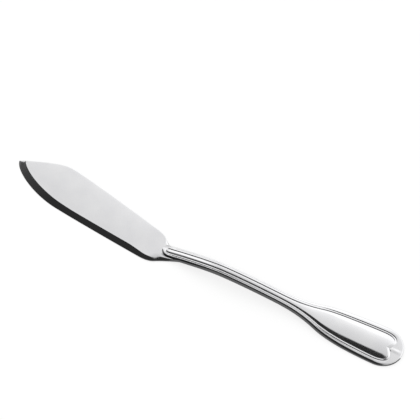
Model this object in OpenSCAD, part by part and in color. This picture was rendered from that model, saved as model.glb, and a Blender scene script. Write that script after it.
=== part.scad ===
// Fish knife, one-piece table cutlery: a flat, one-sided blade and an arched handle whose stem
// widens to a rounded end, edged with a double thread that closes in a brace.
// It lies face up as on a table: X runs from the point to the handle's end, Y towards the
// blade's back, Z up from the table. The drawing starts at the front of the handle's tongue, on
// the handle's centre line, and finished pieces are moved so that the origin is under the middle.

/* [Blade] */
// Length of the blade, from its point to the front of the handle's tongue
blade_length = 84.3; // [74:0.1:98]
// How far the highest part of the back stands above the handle's centre line
back_rise = 19.8; // [16:0.1:24]
// How far the point stands above the handle's centre line
point_rise = 12.5; // [10:0.1:15]
// How far the heel drops below the handle's centre line
heel_drop = 8.3; // [7:0.1:11]
// Thickness of the blade and of the flat neck
blade_thickness = 1.5; // [1.2:0.05:1.9]

/* [Cutting edge] */
// Width of the bevel ground along the cutting edge
bevel_width = 2.8; // [1.5:0.1:4]
// Width of the bevel along the belly, towards the point
belly_bevel_width = 3.5; // [1.5:0.1:4.5]
// Thickness left at the cutting edge
edge_thickness = 0.35; // [0.2:0.05:0.5]
// Thickness left along the blunt edge of the heel
heel_edge_thickness = 0.85; // [0.6:0.05:1.1]
// Length over which the bevel narrows towards the heel
bevel_runout = 16; // [8:0.5:22]

/* [Neck] */
// Flat left in front of the tongue, up to the line where the blade meets the handle
neck_flat = 1; // [0.5:0.1:2]
// Length of the hollow curve from the blade's back into the stem
back_fillet_length = 5; // [3.5:0.1:8]
// Length of the hollow curve from the heel into the stem
heel_fillet_length = 12; // [8:0.5:18]
// Thickness along the neck's edge where the back runs into the stem
shoulder_edge_thickness = 0.8; // [0.6:0.05:1.1]
// Height of the tongue's top above the blade's face
tongue_rise = 1.2; // [0.8:0.05:1.6]
// Length of the tongue's rounded front
tongue_nose_length = 4.2; // [3.5:0.1:5]

/* [Handle] */
// Length of the handle, from the front of its tongue to its rounded end
handle_length = 125.4; // [112:0.1:142]
// Width of the stem
stem_width = 6.1; // [5.5:0.1:7.5]
// Thickness of the stem at its centre line
stem_thickness = 3.5; // [3:0.1:4.4]
// Length of the handle that is stem, before it starts to widen
stem_length = 58; // [46:0.5:66]
// Width of the handle's broad end
end_width = 19.8; // [16:0.1:23]
// Thickness of the broad end at its centre line
end_thickness = 2.6; // [2.3:0.05:3.4]
// Length of the rounding that closes the broad end
end_round_length = 11; // [9.5:0.1:11.5]

/* [Arch] */
// Clear height under the stem at the top of its arch
arch_height = 5.7; // [3:0.1:8]
// Distance from the tongue's front to where the arch leaves the table
arch_start = 3; // [2:0.5:6]
// Distance from the tongue's front to the top of the arch
arch_top = 34; // [26:0.5:42]
// Length of the handle's end that lies on the table
landing_length = 25.4; // [18:0.2:32]

/* [Thread border] */
// Width of the rim outside the threads, on the stem
stem_rim = 0.82; // [0.7:0.02:0.92]
// Width of the rim outside the threads, on the broad end
end_rim = 2.15; // [1.6:0.05:2.6]
// How far in from the edge the rim starts to round over, on the stem
stem_edge_round = 0.5; // [0.4:0.05:0.7]
// How far in from the edge the rim starts to round over, on the broad end
end_edge_round = 1.25; // [0.6:0.05:1.4]
// Width of the raised thread
thread_width = 0.65; // [0.45:0.05:0.75]
// Width of the groove on each side of the thread
groove_width = 0.35; // [0.25:0.05:0.45]
// Depth of the grooves
groove_depth = 0.28; // [0.1:0.02:0.4]
// How far the stem's centre stands above its edges
stem_crown = 0.3; // [0.1:0.05:0.5]
// How far the broad end's field stands above its rim
end_crown = 0.85; // [0.3:0.05:1]
// Distance from the tongue's front to where the inner grooves start
inner_groove_start = 2; // [1.5:0.1:4]
// Distance from the tongue's front to where the outer grooves start
outer_groove_start = 5.5; // [4:0.1:9]

/* [Brace] */
// Distance from the handle's end to the furthest points of the brace
brace_setback = 5.5; // [5:0.1:7]
// How far the brace's middle point reaches back towards the blade
brace_point_depth = 1.9; // [0.8:0.1:2.4]
// Distance between the furthest points of the brace's two lobes
brace_spread = 8.4; // [7:0.1:9]
// Distance from the handle's end to where the threads leave the straight sides
brace_turn_setback = 12; // [11.6:0.1:15]
// Width of the short rib that runs from the brace to the handle's end
rib_width = 2.8; // [1.8:0.1:4]
// Height of that rib
rib_height = 0.18; // [0.1:0.02:0.3]

/* [Hidden] */

// Clearance by which a cut runs past the metal
overrun = 0.5;
// Height of the thread's rounded top over its two edges
thread_crown = 0.05;
// Length over which a groove reaches its full depth
groove_fade = 1.2;
// Rounded top of the rim over its two sides
rim_crown = 0.03;
// Rounding under the handle's edge
under_round = 0.35;
under_round_share = 0.25;

stem_half = stem_width / 2;
end_half = end_width / 2;
border_half = thread_width / 2 + groove_width;
seam_x = -neck_flat;
turn_x = handle_length - brace_turn_setback;
round_x = handle_length - end_round_length;
lobe_x = handle_length - brace_setback;
brace_x = lobe_x - brace_point_depth;
landing_x = handle_length - landing_length;

// Stretches of the handle, in steps along each half of its outline
nose_steps = 6;
stem_steps = 18;
flare_steps = 9;
swell_steps = 9;
corner_steps = 7;
lobe_steps = 8;
stem_at = nose_steps;
seam_end_at = nose_steps / 2;
flare_at = stem_at + stem_steps;
swell_at = flare_at + flare_steps;
corner_at = swell_at + swell_steps;
lobe_at = corner_at + corner_steps;
last_at = lobe_at + lobe_steps;

function mix(a, b, share) = a + (b - a) * share;
function limit(share) = min(1, max(0, share));
function ease(share) = let (s = limit(share)) s * s * (3 - 2 * s);
function bezier(p, t) = pow(1 - t, 3) * p[0] + 3 * t * pow(1 - t, 2) * p[1]
    + 3 * t * t * (1 - t) * p[2] + pow(t, 3) * p[3];
function curve(p, steps) = [for (i = [0 : steps - 1]) bezier(p, i / steps)];
function unit(v) = v / norm(v);
function turned(v) = [-v.y, v.x];

// Hollow curves of the neck, from the seam to the stem's side
shoulder_share = 0.3;
heel_neck_share = 0.86;
shoulder_y = back_rise * shoulder_share;
heel_neck_y = heel_drop * heel_neck_share;
back_fillet_power = 2;
heel_fillet_power = 1.6;

// Height of a hollow curve over the stem's side, at x
function fillet(x, start_y, length, power) =
    (start_y - stem_half) * pow(1 - limit((x - seam_x) / length), power);
function back_fillet(x) = fillet(x, shoulder_y, back_fillet_length, back_fillet_power);
function heel_fillet(x) = fillet(x, heel_neck_y, heel_fillet_length, heel_fillet_power);

// Slopes of the two outlines where they cross the seam
shoulder_slope = (shoulder_y - stem_half) * back_fillet_power / back_fillet_length;
heel_slope = (heel_neck_y - stem_half) * heel_fillet_power / heel_fillet_length;
shoulder_lead_share = 0.011;
heel_lead_share = 0.026;
shoulder_lead = blade_length * shoulder_lead_share;
heel_lead = blade_length * heel_lead_share;

// The back and the cutting edge as smooth curves: X in shares of the blade's length from the
// tongue, Y of the back in shares of its rise, Y of the edge in shares from the point to the heel
function back_point(s) = [-blade_length * s.x, back_rise * s.y];
function edge_point(s) = [-blade_length * s.x, mix(point_rise, -heel_drop, s.y)];
point = [-blade_length, point_rise];
shoulder = [seam_x, shoulder_y];
heel_neck = [seam_x, -heel_neck_y];
belly_back_shares = [[0.905, 0.773], [0.789, 0.985], [0.718, 1]];
long_back_shares = [[0.64, 1], [0.237, 0.591], [0.071, 0.419]];
shoulder_shares = [0.039, 0.383];
tip_edge_shares = [[0.992, 0.236], [0.836, 0.63], [0.673, 0.726]];
long_edge_shares = [[0.546, 0.8], [0.285, 0.918], [0.113, 0.99]];
heel_shares = [0.071, 1.01];
back_curves = [
    [point, for (s = belly_back_shares) back_point(s)],
    [for (s = [belly_back_shares[2], each long_back_shares]) back_point(s)],
    [
        back_point(long_back_shares[2]),
        back_point(shoulder_shares),
        shoulder + [-shoulder_lead, shoulder_lead * shoulder_slope],
        shoulder
    ]
];
edge_curves = [
    [point, for (s = tip_edge_shares) edge_point(s)],
    [for (s = [tip_edge_shares[2], each long_edge_shares]) edge_point(s)],
    [
        edge_point(long_edge_shares[2]),
        edge_point(heel_shares),
        heel_neck - [heel_lead, heel_lead * heel_slope],
        heel_neck
    ]
];
blade_curve_steps = [16, 20, 10];
back_line = [for (k = [0 : 2]) each curve(back_curves[k], blade_curve_steps[k]), shoulder];
edge_line = [for (k = [0 : 2]) each curve(edge_curves[k], blade_curve_steps[k]), heel_neck];

// Bevel at x: its width, how far its edge stands above the sharp one, and at the seam how far
// it reaches across the neck
belly_bevel_shares = [0.55, 0.25];
heel_way_x = 1 / norm([1, heel_slope]);
function ground_width(x) = mix(
    bevel_width,
    belly_bevel_width,
    ease((-x / blade_length - belly_bevel_shares[0]) / belly_bevel_shares[1])
);
function edge_lift(x) = (heel_edge_thickness - edge_thickness) * ease(1 + (x - seam_x) / bevel_runout);
function bevel_slope(x) = (blade_thickness - edge_thickness) / ground_width(x);
seam_bevel_reach = (blade_thickness - heel_edge_thickness) / bevel_slope(seam_x) / heel_way_x;

// Middle of the whole knife on the table
centre_x = (handle_length - blade_length) / 2;
lowest_y = min(-end_half, min([for (p = edge_line) p.y]));
centre_y = (max([for (p = back_line) p.y]) + lowest_y) / 2;

// Side view of the handle: underside and thickness at x
neck_bias_share = 0.8;
thinning_bias = 1.3;
tongue_swell_share = 0.35;
swell_length = arch_top * tongue_swell_share;
function underside(x) = arch_height * (x < arch_top
    ? ease(pow(limit((x - arch_start) / (arch_top - arch_start)), neck_bias_share))
    : ease((landing_x - x) / (landing_x - arch_top)));
function widening(x) = ease(pow(limit((x - stem_length) / (turn_x - stem_length)), thinning_bias));
function tongue_step(x) =
    (stem_thickness - blade_thickness - tongue_rise) * (1 - ease(x / swell_length));
function thickness(x) = mix(stem_thickness, end_thickness, widening(x)) - tongue_step(x);
function crown(x) = mix(stem_crown, end_crown, widening(x));
function centre_height(x) = underside(x) + thickness(x);

// Plan of the handle: half its outline, from the middle of the tongue's front to the far end
nose_handle_shares = [[0.2, 0.6], [0.85, 0.15]];
nose_blunt_share = 0.75;
stem_spacing = 1.35;
flare_shares = [[0, 0], [0.18, 0], [0.29, 0.08], [0.45, 0.505]];
swell_shares = [[0.45, 0.505], [0.54, 0.74], [0.705, 0.96], [1, 1]];
straight_end_share = 0.08;
function nose_curve(inset) = let (
    side_y = stem_half - inset,
    handles = mix(nose_handle_shares[0], nose_handle_shares[1], limit(inset / (stem_half * nose_blunt_share)))
) [
    [inset, 0],
    [inset, side_y * handles[0]],
    [mix(inset, tongue_nose_length, handles[1]), side_y],
    [tongue_nose_length, side_y]
];
function plan_point(s) = [mix(stem_length, turn_x, s.x), mix(stem_half, end_half, s.y)];
function end_point(t) = t < straight_end_share
    ? [mix(turn_x, round_x, t / straight_end_share), end_half]
    : let (a = 90 * (t - straight_end_share) / (1 - straight_end_share))
        [round_x + end_round_length * sin(a), end_half * cos(a)];
function end_share(i) = (i - corner_at) / (last_at - corner_at);
function stem_x(i) = mix(tongue_nose_length, stem_length, pow((i - stem_at) / stem_steps, stem_spacing));
function outline(i) =
    i <= stem_at ? bezier(nose_curve(0), i / nose_steps)
    : i <= flare_at ? [stem_x(i), stem_half]
    : i <= swell_at ? bezier([for (s = flare_shares) plan_point(s)], (i - flare_at) / flare_steps)
    : i <= corner_at ? bezier([for (s = swell_shares) plan_point(s)], (i - swell_at) / swell_steps)
    : end_point(end_share(i));

// Middle of the thread: it follows the outline and turns into the brace at the end
rim_growth_share = 0.65;
corner_handle_share = 0.62;
lobe_handle_share = 0.45;
cusp_handle_shares = [0.65, 0.24];
mitre_limit = 1.5;
rim_growth_length = (turn_x - stem_length) * rim_growth_share;
function rim(x) = mix(stem_rim, end_rim, ease((x - stem_length) / rim_growth_length));
function edge_round(x) =
    rim(x) * mix(stem_edge_round / stem_rim, end_edge_round / end_rim, widening(x));
function thread_inset(x) = rim(x) + border_half;
turn = [turn_x, end_half - thread_inset(turn_x)];
lobe = [lobe_x, brace_spread / 2];
corner_curve = [
    turn,
    [mix(turn.x, lobe.x, corner_handle_share), turn.y],
    [lobe.x, mix(lobe.y, turn.y, corner_handle_share)],
    lobe
];
lobe_curve = [
    lobe,
    [lobe.x, lobe.y * (1 - lobe_handle_share)],
    [lobe.x - brace_point_depth * cusp_handle_shares.x, lobe.y * cusp_handle_shares.y],
    [brace_x, 0]
];
function slope_of(p, t) = unit(3 * pow(1 - t, 2) * (p[1] - p[0]) + 6 * t * (1 - t) * (p[2] - p[1])
    + 3 * t * t * (p[3] - p[2]));

// Line beside the middle of the thread, offset towards the outline
function beside_thread(i, offset) =
    i <= stem_at ? bezier(nose_curve(thread_inset(0) - offset), i / nose_steps)
    : i <= corner_at ? let (p = outline(i)) [p.x, p.y - thread_inset(p.x) + offset]
    : i <= lobe_at ? let (t = (i - corner_at) / corner_steps)
        bezier(corner_curve, t) + offset * turned(slope_of(corner_curve, t))
    : let (t = (i - lobe_at) / lobe_steps, n = turned(slope_of(lobe_curve, t)))
        bezier(lobe_curve, t) + [offset * min(mitre_limit, 1 / max(n.x, 1 / mitre_limit)), 0];

// Centre line of the field, under the same step
nose_spine_share = 0.4;
spine_reach_share = 0.55;
function spine(i) =
    i <= stem_at ? [mix(mix(thread_inset(0) + border_half, tongue_nose_length, nose_spine_share),
        tongue_nose_length, i / nose_steps), 0]
    : i <= corner_at ? [outline(i).x, 0]
    : [mix(turn_x, brace_x - border_half * mitre_limit, spine_reach_share * end_share(i)), 0];

// Rib on the plain lobe between the brace and the handle's end
rib_fade_share = 0.5;
function rib(p) = let (run = handle_length - brace_x, s = (p.x - brace_x) / run)
    rib_height * ease(1 - abs(p.y) / (rib_width / 2)) * ease(s / rib_fade_share)
    * ease((1 - s) / rib_fade_share);

// Lines of one half of the handle, from the centre line out over the rim and down to the table
field_shares = [0, 0.3, 0.59, 0.68, 0.83, 1];
shoulder_start_share = 0.59;
shoulder_fall_share = 0.68;
shoulder_power = 1.3;
groove_nose_shares = [0.3, 0.4];
edge_drop_share = 0.5;
edge_angles = [0, 35, 65, 90];
foot_share = 0.4;
shoulder_edge_fade = 2.5;
lower_share = 0.2;
web_factor = 3;

// Fall of the field from its middle to the threads: nearly flat, then a shoulder. Round the brace
// it goes by the distance from the centre line, so that the threads climb on to the field there
function shoulder_fall(f) = mix(
    f * f,
    pow(max(0, f - shoulder_start_share) / (1 - shoulder_start_share), shoulder_power),
    shoulder_fall_share
);
function field_height(i, p, f) = centre_height(p.x)
    - crown(p.x) * shoulder_fall(i > corner_at ? limit(p.y / (turn.y - border_half)) : f);
function field_line(i, f) = let (p = mix(spine(i), beside_thread(i, -border_half), f))
    [p.x, p.y, field_height(i, p, f)];
function nose_fade(i) = ease((i / stem_at - groove_nose_shares[0]) / groove_nose_shares[1]);
function border_line(i, offset, depth, start) = let (p = beside_thread(i, offset))
    [p.x, p.y, field_height(i, p, 1) - depth * ease((p.x - start) / groove_fade) * nose_fade(i)];
function rim_height(x) = centre_height(x) - crown(x);
function rim_line(i, angle) = let (
    o = outline(i),
    lip = beside_thread(i, border_half),
    p = o + unit(lip - o) * edge_round(o.x) * (1 - sin(angle)),
    side = (rim_height(p.x) - underside(p.x)) * edge_drop_share
) [p.x, p.y, rim_height(p.x) + rib(p) - side * (1 - cos(angle))];
function rim_middle(i) = let (
    lip = border_line(i, border_half, 0, 0),
    edge = rim_line(i, 0),
    p = (lip + edge) / 2
) [p.x, p.y, p.z + rim_crown + rib(p) / 2];

// The flat neck stands out from the stem's side as far as the hollow curve on that side
function hollow(x, side) = side > 0 ? back_fillet(x) : heel_fillet(x);
function hollow_length(side) = side > 0 ? back_fillet_length : heel_fillet_length;
function neck_share(x, side) = ease(web_factor * (1 - (x - seam_x) / hollow_length(side)));
function neck_edge(i, x, side) = side < 0
    ? (i < seam_end_at ? blade_thickness : heel_edge_thickness)
    : mix(blade_thickness, shoulder_edge_thickness, ease((x - seam_x) / shoulder_edge_fade));
function seam_reach(i, side) = let (reach = stem_half + hollow(seam_x, side))
    side < 0 && i < seam_end_at ? (reach - seam_bevel_reach) * i / (seam_end_at - 1)
    : reach * i / seam_end_at;
function neck_plan(i, side, inset) =
    i > stem_at ? let (
        p = outline(i),
        q = p + unit(spine(i) - p) * inset * (1 - neck_share(p.x, side))
    ) [q.x, q.y + hollow(p.x, side)]
    : i <= seam_end_at ? [seam_x, seam_reach(i, side)]
    : let (x = mix(seam_x, tongue_nose_length, (i - seam_end_at) / (stem_at - seam_end_at)))
        [x, stem_half + hollow(x, side) - inset * (1 - neck_share(x, side))];
function foot_line(i, side) = let (p = outline(i), h = rim_height(p.x) - underside(p.x))
    [p.x, p.y, underside(p.x) + mix(h * foot_share, blade_thickness, neck_share(p.x, side))];
function neck_line(i, side, share, inset) = let (
    p = neck_plan(i, side, inset),
    h = (rim_height(p.x) - underside(p.x)) * share,
    edge = neck_edge(i, p.x, side)
) [p.x, p.y, underside(p.x) + (share > 0 ? mix(h, edge, neck_share(p.x, side)) : 0)];

function half_section(i, side) = [
    for (f = field_shares) field_line(i, f),
    border_line(i, -(thread_width + groove_width) / 2, groove_depth, inner_groove_start),
    border_line(i, -thread_width / 2, 0, 0),
    border_line(i, 0, -thread_crown, inner_groove_start),
    border_line(i, thread_width / 2, 0, 0),
    border_line(i, (thread_width + groove_width) / 2, groove_depth, outer_groove_start),
    border_line(i, border_half, 0, 0),
    rim_middle(i),
    for (a = edge_angles) rim_line(i, a),
    foot_line(i, side),
    neck_line(i, side, lower_share, under_round * under_round_share),
    neck_line(i, side, 0, under_round)
];
lines = len(half_section(0, 1));

// A point's number: both halves share the centre line and the first and last steps
function number(half, i, j) =
    j + lines * (i + (half == 1 && j > 0 && i > 0 && i < last_at ? last_at + 1 : 0));
function triangle(a, b, c) = a == b || b == c || c == a ? [] : [[a, b, c]];
function square_of(q, first) = let (c = [for (k = [0 : 3]) q[(k + first) % 4]])
    [each triangle(c[0], c[1], c[2]), each triangle(c[0], c[2], c[3])];
function patch(half, i, j) = let (
    near = number(half, i, j),
    beside = number(half, i, j + 1),
    ahead = number(half, i + 1, j),
    across = number(half, i + 1, j + 1)
) square_of(half == 0 ? [near, beside, across, ahead] : [near, ahead, across, beside], i < stem_at ? 0 : 1);

module handle_body() {
    sides = [1, -1];
    points = [
        for (side = sides) for (i = [0 : last_at]) for (p = half_section(i, side))
            [p.x, p.y * side, p.z]
    ];
    top_faces = [
        for (half = [0, 1]) for (i = [0 : last_at - 1]) for (j = [0 : lines - 2])
            each patch(half, i, j)
    ];
    foot = lines - 1;
    seam_foot = [
        for (i = [seam_end_at : -1 : 0]) number(0, i, foot),
        for (i = [1 : seam_end_at + 1]) number(1, i, foot)
    ];
    under_faces = [
        for (k = [0 : len(seam_foot) - 2])
            [number(0, seam_end_at + 1, foot), seam_foot[k], seam_foot[k + 1]],
        for (i = [seam_end_at + 1 : last_at - 1]) each square_of([
            number(0, i, foot),
            number(1, i, foot),
            number(1, i + 1, foot),
            number(0, i + 1, foot)
        ], 0)
    ];
    polyhedron(points, [each top_faces, each under_faces]);
}

// Wedge that grinds the bevel: it follows the cutting edge and, narrower, the heel to the seam,
// where it is square to the seam so that the neck carries on from it
module bevel_cut() {
    first = edge_line[0];
    seam_at = len(edge_line);
    path = [
        first - unit(edge_line[1] - first) * belly_bevel_width,
        each edge_line,
        heel_neck + [overrun, overrun * heel_slope]
    ];
    top = len(path) - 1;
    corners = [for (i = [0 : top]) let (
        way = unit(path[min(i + 1, top)] - path[max(i - 1, 0)]),
        inward = i < seam_at ? turned(way) : [0, 1 / heel_way_x],
        slope = bevel_slope(path[i].x),
        lift = edge_lift(path[i].x),
        inner = path[i] + inward * (ground_width(path[i].x) + overrun / slope),
        outer = path[i] - inward * overrun
    ) each [
        [inner.x, inner.y, blade_thickness + overrun + lift],
        [outer.x, outer.y, edge_thickness - overrun * slope + lift],
        [outer.x, outer.y, blade_thickness + overrun + lift]
    ]];
    polyhedron(corners, [
        [0, 2, 1],
        [3 * top, 3 * top + 1, 3 * top + 2],
        for (i = [0 : top - 1]) for (k = [0 : 2]) let (n = (k + 1) % 3)
            each square_of([3 * i + k, 3 * i + n, 3 * i + 3 + n, 3 * i + 3 + k], 0)
    ]);
}

module blade() {
    color("silver")
    translate([-centre_x, -centre_y, 0])
    difference() {
        linear_extrude(blade_thickness)
            polygon([each back_line, for (i = [len(edge_line) - 1 : -1 : 1]) edge_line[i]]);
        bevel_cut();
    }
}

module handle() {
    color("gainsboro")
    translate([-centre_x, -centre_y, 0])
        handle_body();
}

blade();
handle();
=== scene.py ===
"""Fish knife in polished stainless steel, on a pale table under soft studio light."""

import math

import bpy
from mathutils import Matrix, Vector


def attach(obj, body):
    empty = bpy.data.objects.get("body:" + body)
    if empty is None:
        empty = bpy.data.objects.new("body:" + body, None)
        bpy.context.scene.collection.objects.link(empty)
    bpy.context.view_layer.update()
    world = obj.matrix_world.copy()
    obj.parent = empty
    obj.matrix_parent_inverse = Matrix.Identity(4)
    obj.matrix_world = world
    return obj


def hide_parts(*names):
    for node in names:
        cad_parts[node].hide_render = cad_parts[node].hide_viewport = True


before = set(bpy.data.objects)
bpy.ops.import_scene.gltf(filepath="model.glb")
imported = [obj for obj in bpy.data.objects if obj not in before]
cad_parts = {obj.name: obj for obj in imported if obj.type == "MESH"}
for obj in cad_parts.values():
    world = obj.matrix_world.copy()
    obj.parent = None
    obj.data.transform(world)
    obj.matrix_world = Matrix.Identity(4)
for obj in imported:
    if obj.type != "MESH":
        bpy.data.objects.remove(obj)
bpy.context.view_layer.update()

bl_info = {
    "name": "Fish knife",
    "version": (1, 0, 0),
    "blender": (4, 5, 0),
    "location": "3D View > Sidebar > Knife",
    "description": "Models a one-piece fish knife, its polish and the studio around it",
    "category": "Object",
}

MM = 0.001


def length(name, about, size):
    """A size in metres, given in millimetres."""
    return bpy.props.FloatProperty(
        name=name, description=about, default=size * MM, min=0.0, precision=5, unit="LENGTH"
    )


def share(name, about, value):
    """A plain number from 0 to 1."""
    return bpy.props.FloatProperty(
        name=name, description=about, default=value, min=0.0, max=1.0, subtype="FACTOR"
    )


class BladeSizes(bpy.types.PropertyGroup):
    """Sizes of the blade and of the flat neck"""

    blade_length: length("Blade length", "From the point to the front of the tongue", 84.3)
    back_rise: length("Back rise", "Highest part of the back over the handle's centre line", 19.8)
    point_rise: length("Point rise", "Height of the point over the handle's centre line", 12.5)
    heel_drop: length("Heel drop", "Lowest part of the heel under the centre line", 8.3)
    thickness: length("Thickness", "Thickness of the blade and of the flat neck", 1.5)
    face_crown: length("Face crown", "How far the middle of the face stands over its sides", 0.3)
    bevel_width: length("Bevel width", "Width of the bevel ground along the edge", 2.8)
    belly_bevel_width: length("Belly bevel", "Width of the bevel along the belly", 3.5)
    point_run: length("Point run", "Length over which the bevel narrows towards the point", 3.5)
    bevel_soft: length("Bevel softness", "Half the width of the turn from bevel to face", 0.14)
    edge_thickness: length("Edge thickness", "Steel left at the cutting edge", 0.35)
    heel_edge_thickness: length("Heel edge", "Steel left along the blunt edge of the heel", 0.85)
    bevel_runout: length("Bevel run-out", "Length over which the bevel narrows to the heel", 16.0)
    neck_flat: length("Neck flat", "Flat between the tongue and the end of the blade", 1.0)
    neck_round: length("Neck rounding", "Width of the rounding beside the neck", 4.0)
    back_round: length("Back rounding", "Width of the rounding along the top of the back", 0.45)
    back_fall: length("Back fall", "Height of the rounding along the top of the back", 0.3)
    under_round: length("Lower rounding", "Rounding along the lower edge of the back", 0.12)


class HandleSizes(bpy.types.PropertyGroup):
    """Sizes of the handle in plan and in side view"""

    handle_length: length("Handle length", "From the tongue's front to the rounded end", 125.4)
    stem_width: length("Stem width", "Width of the stem", 6.1)
    stem_thickness: length("Stem thickness", "Thickness of the stem at its middle", 3.5)
    stem_length: length("Stem length", "Handle length before it starts to widen", 58.0)
    end_width: length("End width", "Width of the broad end", 19.8)
    end_thickness: length("End thickness", "Thickness of the broad end at its middle", 2.6)
    end_round_length: length("End rounding", "Length of the rounding that closes the end", 11.0)
    tongue_rise: length("Tongue rise", "Height of the tongue over the blade's face", 1.2)
    tongue_nose_length: length("Tongue nose", "Length of the tongue's rounded front", 4.2)
    shoulder_edge: length("Shoulder edge", "Thickness of the neck's edge beside the tongue", 0.8)
    arch_height: length("Arch height", "Clear height under the top of the arch", 5.7)
    arch_start: length("Arch start", "Where the arch leaves the table", 3.0)
    arch_top: length("Arch top", "Where the arch is highest", 34.0)
    landing_length: length("Landing", "Length of the handle's end that lies on the table", 25.4)
    back_fillet_length: length("Back fillet", "Hollow curve from the back into the stem", 5.0)
    heel_fillet_length: length("Heel fillet", "Hollow curve from the heel into the stem", 12.0)
    under_round: length("Lower rounding", "Rounding under the handle's edge", 0.35)


class ThreadSizes(bpy.types.PropertyGroup):
    """Sizes of the relief on the handle's upper side"""

    stem_rim: length("Stem rim", "Rim outside the threads on the stem", 0.78)
    end_rim: length("End rim", "Rim outside the threads on the broad end", 2.15)
    stem_edge_round: length("Stem edge round", "Where the stem's rim starts to fall", 0.76)
    end_edge_round: length("End edge round", "Where the broad end's rim starts to fall", 1.75)
    thread_width: length("Thread width", "Width of the raised thread", 0.55)
    groove_width: length("Groove width", "Width of the groove on each side of the thread", 0.42)
    groove_depth: length("Groove depth", "Depth of the two grooves", 0.28)
    thread_crown: length("Thread crown", "Rounded top of the thread over its edges", 0.02)
    rim_crown: length("Rim crown", "Rounded top of the rim over its two sides", 0.03)
    stem_crown: length("Stem crown", "Stem's middle over its edges", 0.3)
    end_crown: length("End crown", "Domed field of the broad end over its rim", 0.85)
    inner_groove_start: length("Inner groove", "Where the inner grooves start", 2.0)
    outer_groove_start: length("Outer groove", "Where the outer grooves start", 5.5)
    groove_fade: length("Groove fade", "Length over which a groove reaches its depth", 1.2)
    brace_setback: length("Brace setback", "From the end to the brace's furthest points", 5.5)
    brace_point_depth: length("Brace point", "Reach of the brace's middle point", 1.9)
    brace_spread: length("Brace spread", "Between the furthest points of its two lobes", 8.4)
    brace_turn_setback: length("Brace turn", "Where the threads leave the straight sides", 12.0)
    rim_slope: share("Rim slope", "Slope of the threads and the rim along the stem", 0.09)
    outer_groove_worn: share("Outer groove wear", "Depth left of the stem's outer grooves", 0.1)
    outer_groove_full: length("Full outer groove", "Where the outer grooves reach full depth", 94.0)
    brace_worn: share("Brace wear", "Depth left of the grooves along the brace", 0.25)
    rib_width: length("Rib width", "Width of the rib on the plain lobe", 2.8)
    rib_height: length("Rib height", "Height of that rib", 0.18)


def colour(name, about, value):
    """A colour, as an sRGB hex value."""
    return bpy.props.StringProperty(name=name, description=about, default=value)


class SteelFinish(bpy.types.PropertyGroup):
    """Colours and marks of the polished steel"""

    steel: colour("Steel", "sRGB hex colour of the polished steel", "#DDDDDE")
    smudge: colour("Smudge", "sRGB hex colour where the polish is dulled", "#D6D6D8")
    # Colour of the painted shade in the grooves, on the flat neck beside the stem and in the corner
    # between the stem and the neck
    groove: colour("Groove", "sRGB hex colour where the wheel doesn't reach", "#464648")
    roughness: share("Roughness", "Blur of the polish", 0.09)
    scratch_spacing: length("Scratch spacing", "Distance between the fine buffing lines", 0.15)
    scratch_depth: length("Scratch depth", "Depth of the buffing lines", 0.0006)


class StudioSettings(bpy.types.PropertyGroup):
    """Colours and sizes of the table, the tent and the camera"""

    table: colour("Table", "sRGB hex colour of the table", "#F4F4F4")
    # Colour of the grey sheet that paints shade into what the knife's sides reflect of the table
    shade_card: colour("Card", "sRGB hex colour of the grey board", "#707070")
    tent_radius: bpy.props.FloatProperty(
        name="Tent radius", description="Radius of the light tent", default=3.0, unit="LENGTH"
    )
    lens: bpy.props.FloatProperty(
        name="Lens", description="Focal length", default=200.0, unit="CAMERA"
    )


def mix(a, b, s):
    return a + (b - a) * s


def limit(s):
    return min(1.0, max(0.0, s))


def ease(s):
    s = limit(s)
    return s * s * (3 - 2 * s)


def bezier(p, t):
    u = 1 - t
    return p[0] * u**3 + p[1] * 3 * t * u * u + p[2] * 3 * t * t * u + p[3] * t**3


def heading(p, t):
    u = 1 - t
    return ((p[1] - p[0]) * u * u + (p[2] - p[1]) * 2 * t * u + (p[3] - p[2]) * t * t).normalized()


def turned(v):
    return Vector((-v.y, v.x))


# The blade's plan, in shares of its length and of its height
SHOULDER_SHARE = 0.3
HEEL_NECK_SHARE = 0.86
BACK_FILLET_POWER = 2.0
HEEL_FILLET_POWER = 1.6
SHOULDER_LEAD_SHARE = 0.011
HEEL_LEAD_SHARE = 0.026
BELLY_BACK_SHARES = ((0.905, 0.773), (0.789, 0.985), (0.718, 1.0))
LONG_BACK_SHARES = ((0.64, 1.0), (0.237, 0.591), (0.071, 0.419))
SHOULDER_SHARES = (0.039, 0.383)
TIP_EDGE_SHARES = ((0.992, 0.236), (0.836, 0.63), (0.673, 0.726))
LONG_EDGE_SHARES = ((0.546, 0.8), (0.285, 0.918), (0.113, 0.99))
HEEL_SHARES = (0.071, 1.01)

# The bevel: where it widens to the belly, in shares of the blade, how much it narrows at the point,
# and where it softens towards the heel and turns into the rounding beside the neck
BELLY_START_SHARE = 0.55
BELLY_RUN_SHARE = 0.25
POINT_LOSS = 0.6
HEEL_SOFT_FACTOR = 3.5
HEEL_SOFT_START = 9 * MM
HEEL_SOFT_RUN = 6 * MM
NECK_START = 4.5 * MM
NECK_RUN = 3.5 * MM

# The handle's side view: powers that move a rise forwards or back, and the rounding of its edge
# on the stem and on the broad end, as a share of the edge's height
ARCH_BIAS = 0.8
THINNING_BIAS = 1.3
TONGUE_SWELL_SHARE = 0.35
SLOPE_LEAD = 10 * MM
EDGE_DROP_SHARES = (0.2, 0.52)

# The handle's plan: the tongue's nose at the outline and at the threads, the flare, and the end
NOSE_BLUNT_SHARE = 0.75
NOSE_SIDE_SHARES = (0.5, 0.85)
NOSE_TIP_SHARES = (0.45, 0.15)
NOSE_FADE = (0.3, 0.4)
STEM_SPACING = 1.35
FLARE_SHARES = ((0, 0), (0.18, 0), (0.29, 0.08), (0.45, 0.505))
SWELL_SHARES = ((0.45, 0.505), (0.54, 0.74), (0.705, 0.96), (1, 1))
STRAIGHT_END_SHARE = 0.08
RIM_GROWTH_SHARE = 0.87
END_ROUND_SHARE = 0.8
END_ROUND_LOSS = 0.6

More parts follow.
